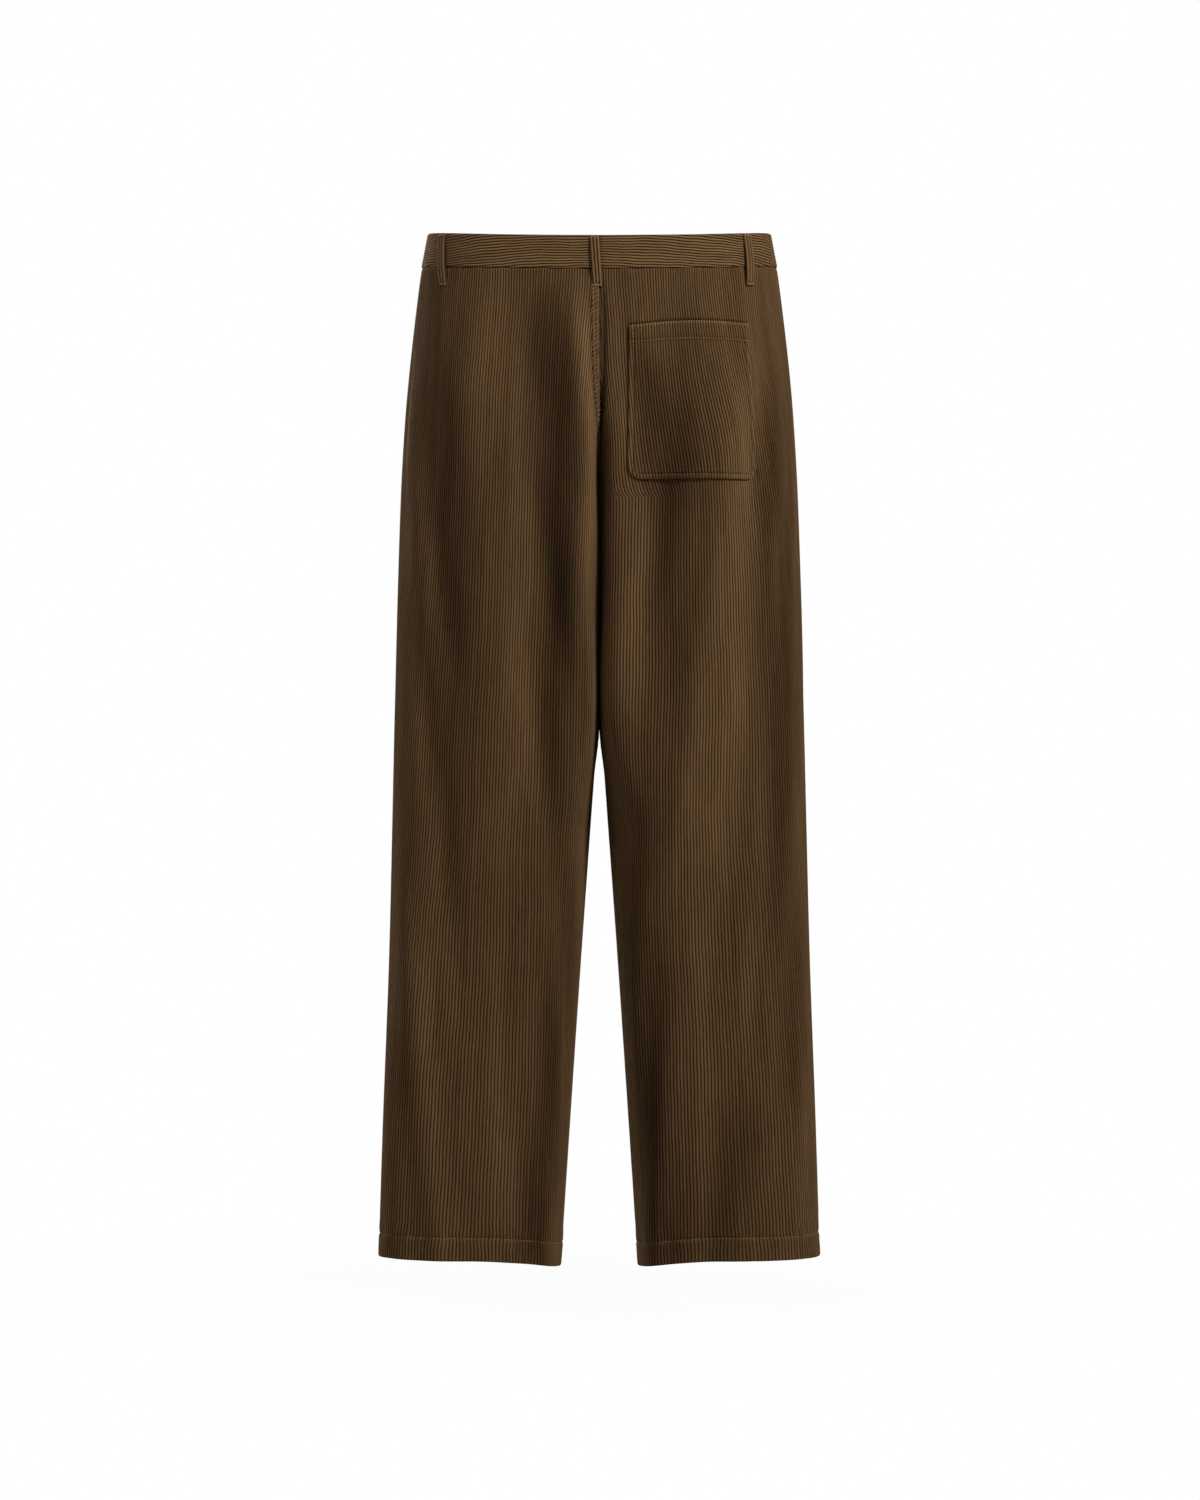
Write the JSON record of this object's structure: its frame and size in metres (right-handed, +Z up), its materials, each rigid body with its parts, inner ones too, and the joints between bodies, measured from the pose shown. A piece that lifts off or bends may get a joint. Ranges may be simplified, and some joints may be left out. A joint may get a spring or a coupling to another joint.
{
  "type": "corduroy trousers",
  "caption": "Straight-legged corduroy trousers in their worn, hollow shape, with waistband, belt loops, fly and one patch pocket on the seat.",
  "frame": {"origin": "the middle of the waist opening, level with the waistband's top at the sides", "axes": "+Z up the body, +Y towards the fly, +X towards the wearer's right; the seat faces -Y"},
  "size_m": [0.462, 0.2399, 1.08],
  "materials": {
    "corduroy": "brown cotton corduroy with a soft pile in ribs",
    "button": "dark brown, half gloss",
    "zip": "aged teeth on a brown tape"
  },
  "bodies": {
    "root": {"back_left_top": "corduroy", "back_left_thigh": "corduroy", "back_left_shin": "corduroy", "back_right_top": "corduroy", "back_right_thigh": "corduroy", "back_right_shin": "corduroy", "front_left_top": "corduroy", "front_left_thigh": "corduroy", "front_left_shin": "corduroy", "front_right_top": "corduroy", "front_right_thigh": "corduroy", "front_right_shin": "corduroy", "waistband_left": "corduroy", "waistband_right": "corduroy", "loop_back_centre": "corduroy", "loop_back_left": "corduroy", "loop_back_right": "corduroy", "loop_front_left": "corduroy", "loop_front_right": "corduroy", "back_pocket": "corduroy", "waist_button": "button", "fly_zip": "zip"}
  },
  "joints": []
}
